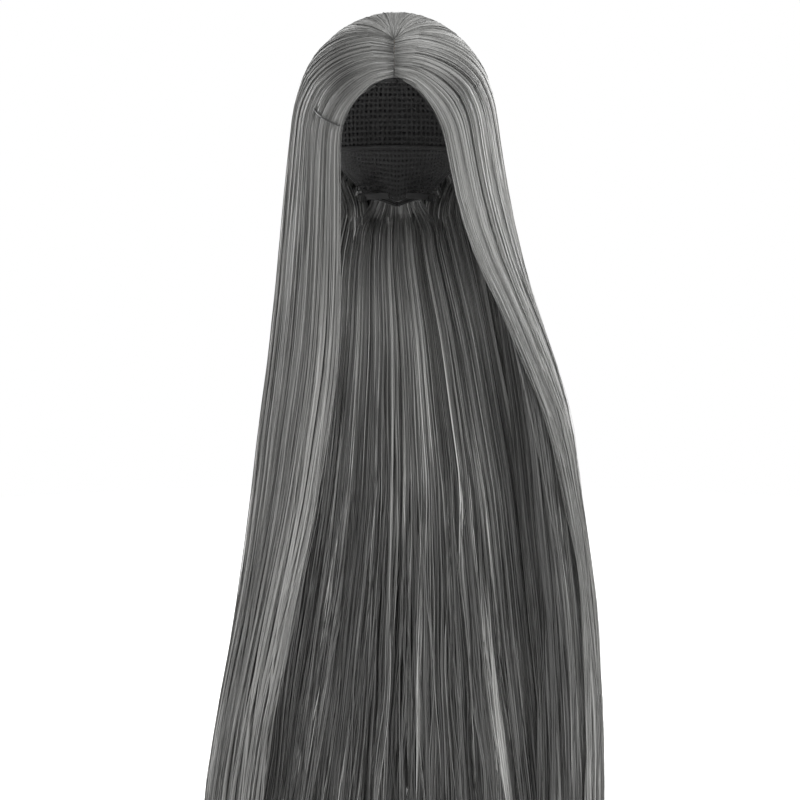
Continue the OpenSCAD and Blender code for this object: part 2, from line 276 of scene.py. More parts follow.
def head_axes(d, v):
    """Half sizes and centre depth of the layer at share d inside the hair, at latitude v."""
    low = ease(1 - v / np.radians(35.0))[..., None]
    inner = (HEAD + ROOT_H) * (1 - low) + INNER_AXES * low
    inner_y = HAIR_Y * low[..., 0]
    return HAIR_AXES + (inner - HAIR_AXES) * d[..., None], HAIR_Y + (inner_y - HAIR_Y) * d


def edge_track(side, d):
    """Angle about the head and latitude along the face opening, against share of the way, for one layer."""
    outline = np.array(OPENING[side], float)
    fine = np.linspace(0, 1, 60)
    steps = np.concatenate([[0], np.cumsum(np.linalg.norm(np.diff(outline, axis=0), axis=1))])
    x, z = (np.interp(fine, steps / steps[-1], outline[:, i]) for i in range(2))
    for _ in range(60):
        x[1:-1] = (x[:-2] + 2 * x[1:-1] + x[2:]) / 4
        z[1:-1] = (z[:-2] + 2 * z[1:-1] + z[2:]) / 4
    half = HAIR_AXES[0] - (HAIR_AXES[0] - INNER_AXES[0]) * d
    height = HAIR_TOP - (HAIR_TOP - INNER_AXES[2]) * d
    v = np.arcsin(z / height)
    return np.arcsin(np.minimum(x / (half * np.cos(v)), 0.99)), v


EDGE = {(side, d): edge_track(side, d) for side in ("left", "right") for d in (0, 1)}


def head_track(side, u_end, share, d, t):
    """Directions from the parting or the whorl down to the level of the ears, for strands (N,) at steps t (N, K)."""
    front = np.degrees(EDGE[(side, 0)][0][-1])
    across = np.degrees(u_end)
    root_v = np.radians(PARTING_V + (WHORL_V - PARTING_V) * np.clip((across - front) / 62.0, 0, 1))
    root = direction(np.zeros_like(root_v), root_v)
    end = direction(u_end, np.zeros_like(u_end))
    reach = np.arccos(np.clip((root * end).sum(-1), -1, 1))[:, None]
    beta = np.radians(-8 + 98 * np.clip((across - front) / (180 - front), 0, 1) ** 2.3)
    back = np.stack([np.zeros_like(root_v), np.sin(root_v), np.cos(root_v)], -1)
    leaving = np.cos(beta)[:, None] * np.array([1.0, 0, 0]) + np.sin(beta)[:, None] * back
    first = unit(root + leaving * reach * 0.40)
    second = unit(end + np.array([0, 0, 1.0]) * reach * 0.42)
    k = t[..., None]
    curve = unit((1 - k) ** 3 * root[:, None] + 3 * (1 - k) ** 2 * k * first[:, None]
                 + 3 * (1 - k) * k ** 2 * second[:, None] + k ** 3 * end[:, None])
    if share is None:
        return curve
    fine = np.linspace(0, 1, 60)
    (u0, v0), (u1, v1) = EDGE[(side, 0)], EDGE[(side, 1)]
    near, far = np.interp(t, fine, u0), np.interp(t, fine, u1)
    depth = d[:, None]
    edge_u = near + (far - near) * depth
    edge_v = np.interp(t, fine, v0) * (1 - depth) + np.interp(t, fine, v1) * depth
    edge_end = (u0[-1] + (u1[-1] - u0[-1]) * d)[:, None]
    edge = direction(edge_u * (u_end[:, None] / edge_end),
                     edge_v + (root_v[:, None] - np.radians(PARTING_V)) * (1 - t) ** 2)
    w = ease(share / 0.30)[:, None, None]
    return unit(edge * (1 - w) + curve * w)


def strands(region, s, d, start, tip, head_steps=15, fall_steps=19):
    """Centre lines (N, K, 3) in mm and outward normals, from the cap to the tips."""
    count = len(s)
    side = "right" if region == "right" else "left"
    flat = np.full(count, -0.5)
    foot, _ = fall_point(region, s, d, flat)
    mirror = np.where(foot[:, 0] < 0, -1.0, 1.0)
    half, deep = (HAIR_AXES[k] - (HAIR_AXES[k] - INNER_AXES[k]) * d for k in (0, 1))
    u_end = np.abs(np.arctan2(np.abs(foot[:, 0]) / half, -(foot[:, 1] - HAIR_Y) / deep))
    t = start[:, None] + (1 - start[:, None]) * np.linspace(0, 1, head_steps)[None]
    track = head_track(side, u_end, s if region in ("left", "right") else None, d, t)
    v = np.arcsin(np.clip(track[..., 2], -1, 1))
    depth = np.broadcast_to(d[:, None], v.shape)
    axes, centre = head_axes(depth, v)
    cap_axes, cap_centre = head_axes(np.ones_like(depth), v)
    layer = track * axes
    layer[..., 1] += centre
    scalp = track * cap_axes
    scalp[..., 1] += cap_centre
    run = np.concatenate([np.zeros((count, 1)), np.cumsum(np.linalg.norm(np.diff(scalp, axis=1), axis=-1), 1)], 1)
    rise = ease(0.40 - 0.35 * (start[:, None] > 0) + run / (20 + 20 * start[:, None]))[..., None]
    head = scalp + (layer - scalp) * rise
    head_normal = unit(track / axes)
    head[..., 0] *= mirror[:, None]
    head[..., 0] += PARTING_X * (1 - ease(run / 70)) + 0.25 * mirror[:, None] * (1 - ease(run / 12))
    head_normal[..., 0] *= mirror[:, None]
    level = np.linspace(0, 1, fall_steps + 1)[1:] ** 1.18
    z = -0.5 + (tip[:, None] + 0.5) * level[None]
    fall, fall_normal = fall_point(region, s[:, None], d[:, None], z)
    points = np.concatenate([head, fall], 1)
    normals = np.concatenate([head_normal, fall_normal], 1)
    for _ in range(3):
        middle = slice(head_steps - 5, head_steps + 4)
        before, after = slice(head_steps - 6, head_steps + 3), slice(head_steps - 4, head_steps + 5)
        points[:, middle] = 0.25 * points[:, before] + 0.5 * points[:, middle] + 0.25 * points[:, after]
        normals[:, middle] = unit(0.25 * normals[:, before] + 0.5 * normals[:, middle] + 0.25 * normals[:, after])
    return points, normals


def lengths_of(points):
    steps = np.linalg.norm(np.diff(points, axis=1), axis=-1)
    return np.concatenate([np.zeros((len(points), 1)), np.cumsum(steps, 1)], 1)


def waves(count, run, reach, amount):
    """A slow wander for each of count clumps along the lengths run (count, K)."""
    total = np.zeros_like(run)
    for k in range(3):
        size = amount * rng.normal(0, 1, (count, 1)) / (1 + k)
        turn = rng.uniform(0, 2 * np.pi, (count, 1))
        total += size * np.sin(run / reach * (1 + 0.9 * k) * rng.uniform(0.7, 1.3, (count, 1)) + turn)
    return total


def clump_waves(clumps, near, run, reach, amount):
    """The slow wander of each strand's clump, at the strand's lengths run in mm."""
    longest, samples = 1000.0, 60
    table = waves(clumps, np.linspace(0, longest, samples)[None].repeat(clumps, 0), reach, amount)
    index = np.clip(run / longest * (samples - 1), 0, samples - 1.01)
    low = index.astype(int)
    part = index - low
    return table[near[:, None], low] * (1 - part) + table[near[:, None], low + 1] * part


def ribbon_mesh(name, points, normals, width, roll, tone):
    """Flat strands: points and normals (N, K, 3) in mm, width, roll and tone (N, K)."""
    count, steps = points.shape[:2]
    along = unit(np.gradient(points, axis=1))
    side = unit(np.cross(along, normals))
    up = np.cross(side, along)
    across = (np.cos(roll)[..., None] * side + np.sin(roll)[..., None] * up) * (width / 2)[..., None]
    both = np.stack([points - across, points + across], 2).reshape(-1, 3) * MM
    base = (np.arange(count)[:, None] * steps + np.arange(steps - 1)[None]).ravel() * 2
    faces = np.stack([base, base + 1, base + 3, base + 2], 1)
    obj = mesh_object(name, both, faces)
    attribute = obj.data.attributes.new("tone", "FLOAT", "POINT")
    attribute.data.foreach_set("value", np.repeat(tone.ravel(), 2).astype(np.float32))
    return obj


GRIP_AT, GRIP_TO = np.array([-55.5, -88.8, 12.0]), np.array([-86.5, -49.5, 29.5])
GRIP_GAP, GRIP_WIRE, GRIP_LEG = 3.0, 1.5, 46.0
GRIP_ALONG = unit(GRIP_TO - GRIP_AT)
GRIP_OUT = -unit(np.array([GRIP_ALONG[1], -GRIP_ALONG[0], 0]))


def grip_bow(reach):
    """The outer leg follows the head over the hair and then dives into it."""
    return 4.2 * np.sin(np.pi * np.clip(reach, 0, GRIP_LEG) / 38.0)


def press_under_grip(points):
    """Hair that would cover the grip lies under it."""
    rel = points - GRIP_AT
    reach = rel @ GRIP_ALONG
    height = rel @ GRIP_OUT
    aside = np.linalg.norm(rel - reach[..., None] * GRIP_ALONG - height[..., None] * GRIP_OUT, axis=-1)
    beyond = np.maximum(np.maximum(-4 - reach, reach - 35), 0)
    away = np.sqrt(aside ** 2 + (beyond * 2.5) ** 2)
    allowed = GRIP_GAP / 2 + grip_bow(reach) - 2.1 + 7.5 * ease(away / 20.0)
    drop = np.clip(height - allowed, 0, None) * (away < 20) * (height < 25)
    return points - drop[..., None] * GRIP_OUT


def painted_rim_highlight_and_shade(points, normals, streak):
    """Painted highlight and painted shade in the tone: strands that face sideways, at the silhouettes, are lighter, and
    the layers at the front beside the forehead are darker, both in streaks by clump.
    """
    x, y, z = points[..., 0], points[..., 1], points[..., 2]
    rim = ease((np.abs(normals[..., 0]) - 0.90) / 0.10) * (1 + 0.25 * streak)
    right = np.exp(-((x + 54) / 17) ** 2 - ((z - 62) / 24) ** 2)
    left = np.exp(-((x - 58) / 17) ** 2 - ((z - 46) / 26) ** 2)
    front = ease(-(y + 20) / 30)
    return 0.16 * rim - front * (0.30 * right + 0.24 * left) * (1 + 0.3 * streak)


def roots_high(d):
    """The top layer starts at the parting, the rest on rows of weft further down its way."""
    rows = np.array([0.0, 0.12, 0.24, 0.36, 0.48, 0.60])
    pick = np.clip((d * 6 + rng.normal(0, 0.5, len(d))), 0, 5.99).astype(int)
    return rows[pick] + rng.uniform(0, 0.02, len(d))


def hair(region, names, count, clumps, depth, material, slot, nodes, inner=None,
         width=(0.5, 1.15), tone_at=0.5, tips=(-735, -815), span=(0.0, 1.05), loose=1.0):
    """Strands of one fall, from their roots on the cap to their tips, in clumps, as several pieces."""
    seed_s, seed_d = rng.uniform(*span, clumps), rng.uniform(0, 1, clumps)
    s, d = rng.uniform(*span, count), rng.uniform(*depth, count)
    near = np.argmin((s[:, None] - seed_s[None]) ** 2 * 250 ** 2 + (d[:, None] - seed_d[None]) ** 2 * 14 ** 2, axis=1)
    shade = rng.normal(0, 1, clumps)[near]
    start = roots_high(d)
    clump_tip = rng.uniform(0, 1, clumps)[near]
    tip = tips[0] + (tips[1] - tips[0]) * np.clip(0.62 * clump_tip + 0.38 * rng.uniform(0, 1, count), 0, 1)
    points, normals = strands(region, s, d, start, tip)
    gathered, _ = strands(region, np.clip(s + 0.75 * (seed_s[near] - s), *span),
                          np.clip(d + 0.6 * (seed_d[near] - d), 0, 1), start, tip)
    z = points[..., 2]
    pull = (0.60 * ease(-z / 620.0) + 0.05)[..., None] * rng.uniform(0.5, 1.1, clumps)[near][:, None, None]
    points = points + (gathered - points) * pull
    run = lengths_of(points)
    side = unit(np.cross(unit(np.gradient(points, axis=1)), normals))
    grow = (0.22 + 1.0 * ease(-z / 500.0)) * loose
    fade = ease(run / 40.0)
    along_drift = clump_waves(clumps, near, run, 150.0, 1.2)
    along_lift = clump_waves(clumps, near, run, 120.0, 0.7)
    wander = waves(count, run, 60.0, 0.5)
    swing = grow + 4.2 * ease((-z - 300) / 420) * rng.uniform(0, 1, clumps)[near][:, None] ** 2
    points = points + side * ((along_drift * swing + wander * grow) * fade)[..., None]
    points = points + normals * ((along_lift * grow * 0.9 + 0.3 * waves(count, run, 45.0, 0.8)) * fade)[..., None]
    if region == "right":
        points = press_under_grip(points)
    level = points[..., 2]
    points[..., 0] *= 1 - 0.038 * (points[..., 0] > 0) * ease((level + 330) / 200)
    size = rng.uniform(*width, count)[:, None] * (1 - 0.75 * ease((run / run[:, -1:] - 0.9) / 0.1))
    roll = rng.normal(0, 0.16, clumps)[near][:, None] + rng.normal(0, 0.5, (count, 1)) + waves(count, run, 160.0, 0.25)
    lower = ease((-z - 150) / 350)
    broad = sum(rng.normal(0, 0.03) * np.sin(k * 2 * np.pi * s + rng.uniform(0, 6.28) + z.T / 260.0)
                for k in range(2, 9)).T
    # Painted shade: the deeper layers (larger d) are darker. The top layer is also darker over its first few
    # millimetres from the parting.
    tone = (tone_at + (0.05 + 0.05 * lower) * shade[:, None] + 0.12 * rng.normal(0, 1, (count, 1))
            - 0.20 * (d[:, None] - 0.2) + waves(count, run, 120.0, 0.03) + broad
            - 0.22 * np.exp(-run / 3.0) * (start[:, None] < 0.05))
    # Painted rim highlight at the sides and painted shade beside the forehead.
    tone = tone + painted_rim_highlight_and_shade(points, normals, rng.normal(0, 1, clumps)[near][:, None])
    # Painted shade: the whole right fall, on the side away from the key light, is 0.10 darker; the band adds a lighter
    # lock near its inner edge.
    if region == "right":
        band = np.exp(-((s[:, None] - 0.07) / 0.06) ** 2) * ease((-z - 110) / 120) * ease((z + 640) / 160)
        tone = tone + 0.34 * band - 0.10
    if region == "left":
        tone = tone - 0.07 * ease((-z - 80) / 160)
    order = rng.permutation(count)
    layers = [(names, order if inner is None else order[d[order] < 0.5], material, slot, nodes)]
    if inner is not None:
        # The inner layers take the darker copy of the fibre, painted shade.
        layers.append((inner[0], order[d[order] >= 0.5], INNER_HAIR_PAINTED_SHADE, "under_hair", inner[1]))
    for piece_names, members, finish, piece_slot, stands_for in layers:
        for name, part_of in zip(piece_names, np.array_split(members, len(piece_names))):
            obj = ribbon_mesh(name, points[part_of], normals[part_of], size[part_of], roll[part_of], tone[part_of])
            obj.data.materials.append(finish)
            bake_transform(obj)
            if stands_for:
                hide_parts(*stands_for)


hair("right", ["right_hair_1", "right_hair_2"], 9000, 260, (0, 1),
     HAIR, "hair", ["front_hair_right", "side_hair_right", "right_fall_outer"],
     (["right_inner_hair_1", "right_inner_hair_2"], ["right_fall_inner"]))
hair("left", ["left_hair_1", "left_hair_2"], 9000, 240, (0, 1),
     HAIR, "hair", ["front_hair_left", "side_hair_left", "left_fall_outer"],
     (["left_inner_hair_1", "left_inner_hair_2"], ["left_fall_inner"]))
hair("back", ["back_hair_1", "back_hair_2", "back_hair_3", "back_hair_4"], 9600, 340, (0, 1),
     HAIR, "hair", ["crown_hair", "back_fall_outer"], tone_at=0.44,
     span=(-0.03, 1.03))

for region, body in (("right", "right_fall"), ("left", "left_fall"), ("back", "back_fall")):
    low_s, high_s = (-0.015, 1.05) if region != "back" else (-0.03, 1.03)
    hair(region, [region + "_wisps"], 420, 380, (0, 0.25), HAIR, "hair",
         None, width=(0.16, 0.32), tone_at=0.62, tips=(-560, -812), span=(low_s, high_s), loose=2.4)


def painted_lit_locks(near, seed, z):
    """Painted highlight: extra tone on a few locks part of the way down, as if they turned to the light, more of them
    on the left.
    """
    clumps = len(seed)
    chosen = (rng.uniform(0, 1, clumps) < 0.10 + 0.16 * (seed < 0.45)) * rng.uniform(0.3, 0.85, clumps)
    middle, reach = rng.uniform(-760, -200, clumps), rng.uniform(60, 170, clumps)
    lit = chosen[near][:, None] * np.exp(-((z - middle[near][:, None]) / reach[near][:, None]) ** 2)
    at = seed[near][:, None]
    lit = lit + 0.70 * np.exp(-((at - 0.09) / 0.03) ** 2) * ease((-z - 420) / 150)
    lit = lit + 0.60 * np.exp(-((at - 0.045) / 0.02) ** 2 - ((z + 380) / 85) ** 2)
    return lit + 0.45 * np.exp(-((at - 0.835) / 0.014) ** 2 - ((z + 620) / 60) ** 2)


def nape_hair(names, count, clumps):
    """The inner hair of the back, which hangs from the weft rows at the nape."""
    rows = [(-42, 24), (-33, 38), (-24, 48), (-15, 56), (-6, 62), (4, 66)]
    seed = rng.uniform(0, 1, clumps)
    s = rng.uniform(0, 1, count)
    near = np.argmin(np.abs(s[:, None] - seed[None]), axis=1)
    row = rng.integers(0, len(rows), count)
    v = np.radians(np.array([r[0] for r in rows], float)[row] + rng.uniform(-1.5, 1.5, count))
    reach = np.array([r[1] for r in rows], float)[row]
    u = np.radians(180 + (s - 0.5) * 2 * np.minimum(reach, 66) * rng.uniform(0.96, 1.0, count))
    d = np.clip(1 - (row + rng.uniform(0, 1, count)) / len(rows), 0, 1)
    root = direction(u, v) * (HEAD + 3.4)
    out = unit(direction(u, v) / (HEAD + 3.4))
    tip = -700 - 95 * np.clip(0.6 * rng.uniform(0, 1, clumps)[near] + 0.4 * rng.uniform(0, 1, count), 0, 1)
    upper = np.minimum(root[:, 2] - 46.0, -86.0)
    share = np.linspace(0, 1, 22)[None] ** 1.15
    z = upper[:, None] + (tip[:, None] - upper[:, None]) * share
    pulled = s[:, None] + (seed[near] - s)[:, None] * 0.6 * ease(-z / 650.0)
    fall, fall_normal = fall_point("under", pulled, np.broadcast_to(d[:, None], z.shape), z)
    first = fall[:, 0]
    t = np.linspace(0, 1, 8)[None, :-1, None]
    leave = root + out * 16 + np.array([0, 0, -10.0])
    arrive = first + np.array([0, 0, 22.0])
    head = ((1 - t) ** 3 * root[:, None] + 3 * (1 - t) ** 2 * t * leave[:, None]
            + 3 * (1 - t) * t ** 2 * arrive[:, None] + t ** 3 * first[:, None])
    points = np.concatenate([head, fall], 1)
    normals = np.concatenate([np.broadcast_to(out[:, None], head.shape), fall_normal], 1)
    run = lengths_of(points)
    side = unit(np.cross(unit(np.gradient(points, axis=1)), normals))
    grow = 0.3 + ease(-points[..., 2] / 500.0)
    wander = clump_waves(clumps, near, run, 75.0, 1.6)
    swing = 0.2 + 1.6 * ease((-points[..., 2] - 200) / 450)
    points = points + side * ((waves(count, run, 90.0, 0.6) * grow + wander * swing) * ease(run / 40))[..., None]
    size = rng.uniform(0.5, 1.2, count)[:, None] * (1 - 0.75 * ease((run / run[:, -1:] - 0.9) / 0.1))
    roll = rng.normal(0, 0.8, (count, 1)) + waves(count, run, 160.0, 0.3)
    tone = 0.42 + 0.12 * rng.normal(0, 1, clumps)[near][:, None] + 0.14 * rng.normal(0, 1, (count, 1)) + 0 * run
    level = points[..., 2]
    # Painted highlight on a few lit locks and painted shade on the hair more than 330 mm down, hanging deep between the
    # falls; the hair about 185 mm down is lighter.
    tone = (tone + painted_lit_locks(near, seed, level) - 0.10 * ease((-level - 330) / 150)
            + 0.20 * np.exp(-((level + 185) / 65) ** 2))
    for name, part_of in zip(names, np.array_split(rng.permutation(count), len(names))):
        obj = ribbon_mesh(name, points[part_of], normals[part_of], size[part_of], roll[part_of], tone[part_of])
        # This inner hair takes the darker copy of the fibre, painted shade.
        obj.data.materials.append(INNER_HAIR_PAINTED_SHADE)
        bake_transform(obj)
        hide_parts("back_fall_inner")


nape_hair(["nape_hair_1", "nape_hair_2"], 5200, 150)

# ---------------------------------------------------------------- the cap's cloth
CAP_EDGE = [[0, 32.6], [20, 31], [38, 25], [46, 19], [52, 12], [60, 0], [66, -14], [73, -20], [81, -19],
            [89, -7], [96, 0], [106, 2], [116, -6], [128, -24], [150, -42], [180, -50]]
CROWN_SEAM = [[0, 37.5], [20, 35.8], [38, 29.8], [46, 24], [52, 22], [60, 26], [180, 26]]
SIDE_SEAM = [[54, 12], [60, 6.6], [104, 6.6], [116, -2], [128, -19]]
# Heights above the head of the net, the elastics and the weft rows, in millimetres
NET_H, RIB_H, WEFT_H = 0.4, 1.6, 2.9
NARROWEST_SHEET = 10.0


def along_seam(table, raised=0.0):
    """A seam of the cap as a function of the angle about the head, the same on both sides, with soft corners."""
    table = np.array(table, float)
    grid = np.arange(-60.0, 421.0)
    around = np.abs((grid + 180) % 360 - 180)
    line = np.interp(around, table[:, 0], table[:, 1])
    soft = np.convolve(np.pad(line, 3, mode="edge"), np.array([1, 3, 6, 7, 6, 3, 1]) / 27.0, "valid")
    return lambda u: np.interp(u, grid, soft) + raised


def flat_line(v):
    return lambda u: np.full(np.shape(u), float(v))


def cap_point(u, v, h):
    u, v = np.radians(u), np.radians(v)
    axes = HEAD + np.asarray(h, float)[..., None]
    return direction(u, v) * axes


def arch_point(p, q, h):
    p, q = np.radians(p), np.radians(q)
    axes = HEAD + np.asarray(h, float)[..., None]
    return np.stack([np.sin(q), -np.cos(q) * np.cos(p), np.cos(q) * np.sin(p)], -1) * axes


def panel(u0, u1, low, high, h, across=10, step=1.5, wave=None):
    """Grid of points (across, along) of a panel between two seams."""
    u = np.linspace(u0, u1, max(2, int(abs(u1 - u0) / step) + 1))[None].repeat(across, 0)
    share = np.linspace(0, 1, across)[:, None]
    v = low(u) + (high(u) - low(u)) * share
    height = np.full(u.shape, float(h))
    if wave is not None:
        height = height + wave(share, u)
    return cap_point(u, v, height)


def strip(p0, p1, q0, q1, h, across=9, step=1.5, wave=None):
    p = np.linspace(p0, p1, max(2, int(abs(p1 - p0) / step) + 1))[None].repeat(across, 0)
    share = np.linspace(0, 1, across)[:, None]
    q = q0 + (q1 - q0) * share + 0 * p
    height = np.full(p.shape, float(h))
    if wave is not None:
        height = height + wave(share, p)
    return arch_point(p, q, height)


def elastic_ridges(count, height):
    """Fine ridges along a band of elastic, rounded off at both edges."""
    return lambda share, u: height * (np.abs(np.sin(count * np.pi * share)) - 0.5) + 0 * u


def closed_grid(outer, inner):
    """Closed thin solid between two grids of points with the same rows and columns."""
    rows, cols = outer.shape[:2]
    index = np.arange(rows * cols).reshape(rows, cols)
    skin = np.stack([index[:-1, :-1], index[:-1, 1:], index[1:, 1:], index[1:, :-1]], -1).reshape(-1, 4)
    lining = skin[:, ::-1] + rows * cols
    rim = np.concatenate([index[0, :-1], index[:-1, -1], index[-1, :0:-1], index[:0:-1, 0]])
    after = np.roll(rim, -1)
    wall = np.stack([after, rim, rim + rows * cols, after + rows * cols], -1)
    return np.concatenate([outer.reshape(-1, 3), inner.reshape(-1, 3)]), np.concatenate([skin, lining, wall])


def surface_normals(grid):
    du, dv = np.gradient(grid, axis=1), np.gradient(grid, axis=0)
    normal = unit(np.cross(du, dv))
    flip = np.sign((normal * grid).sum(-1, keepdims=True))
    return normal * np.where(flip == 0, 1, flip)


def set_weave(obj, place):
    """Where each point lies along the cloth's threads, in millimetres, for its material."""
    attribute = obj.data.attributes.new("weave", "FLOAT_VECTOR", "POINT")
    attribute.data.foreach_set("vector", place.astype(np.float32).ravel())


def cloth(name, grid, thick, material, nodes=(), stretch=None):
    """A thin piece of cloth on a grid of points at its inner face; with stretch, its unstretched size is worked out but
    not kept.
    """
    normal = surface_normals(grid)
    points, faces = closed_grid(grid + normal * thick, grid)
    obj = mesh_object(name, points * MM, faces)
    turned = obj.data.polygons[0].normal.dot(Vector(normal[0, 0]))
    if turned < 0:
        obj.data.flip_normals()
    rows, cols = grid.shape[:2]
    along = np.concatenate([np.zeros((rows, 1)), np.cumsum(np.linalg.norm(np.diff(grid, axis=1), axis=-1), 1)], 1)
    across = np.concatenate([np.zeros((1, cols)), np.cumsum(np.linalg.norm(np.diff(grid, axis=0), axis=-1), 0)], 0)
    weave = np.stack([along, across, 0 * along], -1).reshape(-1, 3)
    set_weave(obj, np.concatenate([weave, weave]))
    finish_piece(obj, material, nodes)
    if stretch is not None:
        a, b, c, d = grid[:-1, :-1], grid[:-1, 1:], grid[1:, 1:], grid[1:, :-1]
        area = np.linalg.norm(np.cross(c - a, d - b), axis=-1).sum() / 2
        declare(across[-1].mean(), along[:, -1].mean(), area, stretch)


def declare(width, length, area, stretch):
    """Works out the cut before it was stretched over the head, in millimetres and square millimetres; the result isn't
    kept or used. Narrow bands return early."""
    width, length, area = width / stretch ** 0.5, length / stretch ** 0.5, area / stretch
    if min(width, length) < NARROWEST_SHEET:
        return


def finish_piece(obj, material, nodes=()):
    """What every piece of the cap needs: its material, body and the CAD nodes that it stands for, which are hidden."""
    obj.data.materials.append(material)
    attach(obj, "cap")
    if nodes:
        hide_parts(*nodes)


def fabric(name, dark, light, pitch, roughness=0.75, depth=0.0002, sheen=0.25, ribbed=False):
    """Cloth whose threads follow the piece: pitch is the distance of its threads, in millimetres."""
    m = Nodes(name, roughness, Sheen_Weight=sheen)
    at = m.add("Attribute", attribute_name="weave").outputs["Vector"]
    parts = m.add("SeparateXYZ", {0: at}).outputs
    one = m.math("SINE", m.math("MULTIPLY", parts[0], 2 * math.pi / pitch[0]))
    two = m.math("SINE", m.math("MULTIPLY", parts[1], 2 * math.pi / pitch[1]))
    threads = m.math("ADD" if ribbed else "MULTIPLY", one, two)
    fuzz = m.noise(m.place(), 900.0, 2.0)
    patch = m.noise(m.place(), 60.0, 3.0)
    height = m.math("ADD", m.math("MULTIPLY", threads, 0.35), fuzz)
    shade = m.math("ADD", m.math("MULTIPLY", height, 0.55), m.math("MULTIPLY", patch, 0.45))
    m.to("Base Color", m.ramp(shade, [(0.15, dark), (0.85, light)]))
    m.bump(height, 0.6, depth)
    return m.material


NET = fabric("cap_net_thread", 0.030, 0.085, (0.9, 0.9))
LACE = fabric("cap_lace_knit", 0.055, 0.16, (1.3, 1.7), depth=0.0003)
ELASTIC = fabric("woven_elastic", 0.022, 0.070, (1.1, 0.7), ribbed=True, depth=0.0003, sheen=0.1)
TAPE = fabric("seam_tape", 0.040, 0.11, (0.8, 1.0))
WEFT = fabric("weft_band", 0.07, 0.21, (0.7, 9.0), roughness=0.6, ribbed=True, depth=0.0004)
THREAD = fabric("sewing_thread", 0.10, 0.20, (0.6, 0.6), roughness=0.6)

m = Nodes("parting_film", 0.65, Subsurface_Weight=0.1)
pores = m.add("TexVoronoi", {"Vector": m.place(), "Scale": 700.0}).outputs["Distance"]
blotch = m.noise(m.place(), 90.0)
m.to("Base Color", m.ramp(m.math("ADD", m.math("MULTIPLY", blotch, 0.7), m.math("MULTIPLY", pores, 0.3)),
                          [(0.2, (0.20, 0.165, 0.14)), (0.8, (0.30, 0.26, 0.225))]))
m.bump(pores, 0.3, 0.0002)
FILM = m.material


def lattice(name, mapping, count_i, count_j, material, nodes, stretch, hole=0.36, thick=0.6):
    """Net with a diamond hole in each cell. mapping turns cell coordinates into points in mm, kept on the panel,
    and says which lie inside it."""
    i, j = (k.ravel() for k in np.meshgrid(np.arange(count_i), np.arange(count_j), indexing="ij"))
    inside = mapping(i + 0.5, j + 0.5)[1]
    i, j = i[inside], j[inside]
    ci, cj = (k.ravel() for k in np.meshgrid(np.arange(count_i + 1), np.arange(count_j + 1), indexing="ij"))
    corners = mapping(ci.astype(float), cj.astype(float))[0]
    rim = [mapping(i + 0.5 + dx * hole, j + 0.5 + dy * hole)[0] for dx, dy in ((0, -1), (1, 0), (0, 1), (-1, 0))]
    base = len(corners)
    hole_at = [base + k * len(i) + np.arange(len(i)) for k in range(4)]
    c = [i * (count_j + 1) + j, (i + 1) * (count_j + 1) + j, (i + 1) * (count_j + 1) + j + 1, i * (count_j + 1) + j + 1]
    b, r, t, l = hole_at
    faces = np.concatenate([np.stack(f, 1) for f in (
        (c[0], c[1], b), (b, c[1], r), (c[1], c[2], r), (r, c[2], t),
        (c[2], c[3], t), (t, c[3], l), (c[3], c[0], l), (l, c[0], b))])
    points = np.concatenate([corners] + rim)
    used, where = np.unique(faces, return_inverse=True)
    points, faces = points[used], where.reshape(faces.shape)
    a, b, c = (points[faces[:, k]] for k in range(3))
    size = np.linalg.norm(np.cross(b - a, c - a), axis=1)
    faces = faces[size > 1e-4]
    obj = mesh_object(name, points * MM, faces)
    first = faces[len(faces) // 2]
    normal = np.cross(points[first[1]] - points[first[0]], points[first[2]] - points[first[0]])
    if normal @ points[first[0]] < 0:
        obj.data.flip_normals()
    set_weave(obj, points)
    solid = obj.modifiers.new("thread", "SOLIDIFY")
    solid.thickness = thick * MM
    solid.offset = 1
    finish_piece(obj, material, nodes)
    share = 1 - 2 * hole ** 2
    extent = points.max(0) - points.min(0)
    area = size[size > 1e-4].sum() / 2 / share
    width = max(extent[2], 20.0)
    declare(width, max(area / width, 20.0), area, stretch)


edge, crown_seam, side_seam = along_seam(CAP_EDGE), along_seam(CROWN_SEAM), along_seam(SIDE_SEAM)


def crown_map(side):
    pitch = 5.4

    def mapping(i, j):
        x = 0.4 + (i - 1) * pitch
        y = (j - 37) * pitch
        x_in = np.maximum(x, 0.4)
        colatitude = np.degrees(np.hypot(x_in / 86.0, y / 101.0))
        u = np.degrees(np.arctan2(x_in / 86.0, -y / 101.0))
        floor_v = crown_seam(u)
        v = np.maximum(90 - colatitude, floor_v)
        point = cap_point(u, v, np.full(np.shape(u), NET_H))
        point[..., 0] *= side
        return point, (x > 0.4) & (90 - colatitude > floor_v)
    return mapping


def side_map(side):
    def mapping(i, j):
        u = 54 + i * 3.7
        v = -22 + j * 3.1
        inside_u = np.clip(u, 54, 127.4)
        low, high = side_seam(inside_u), crown_seam(inside_u) - 0.6
        point = cap_point(inside_u, np.clip(v, low, high), np.full(np.shape(u), NET_H))
        point[..., 0] *= side
        return point, (v > low) & (v < high) & (u < 127.4)
    return mapping


def back_map(i, j):
    u = 128 + i * (104 / 28)
    v = -12 + j * (37.4 / 12)
    return cap_point(u, v, np.full(np.shape(u), NET_H)), np.ones(np.shape(u), bool)


for side, word in ((1, "left"), (-1, "right")):
    lattice("crown_net_cloth_" + word, crown_map(side), 27, 75, NET, ["crown_net_" + word], 1.10)
    lattice("side_net_cloth_" + word, side_map(side), 21, 17, NET, ["side_net_" + word], 1.10)
lattice("back_net_cloth", back_map, 28, 12, NET, ["back_net"], 1.10)


def nape_map(i, j):
    u = 128 + i * (104 / 34)
    low = along_seam(CAP_EDGE, 3.8)(u)
    return cap_point(u, low + (-12.6 - low) * j / 11, np.full(np.shape(u), NET_H)), np.ones(np.shape(u), bool)


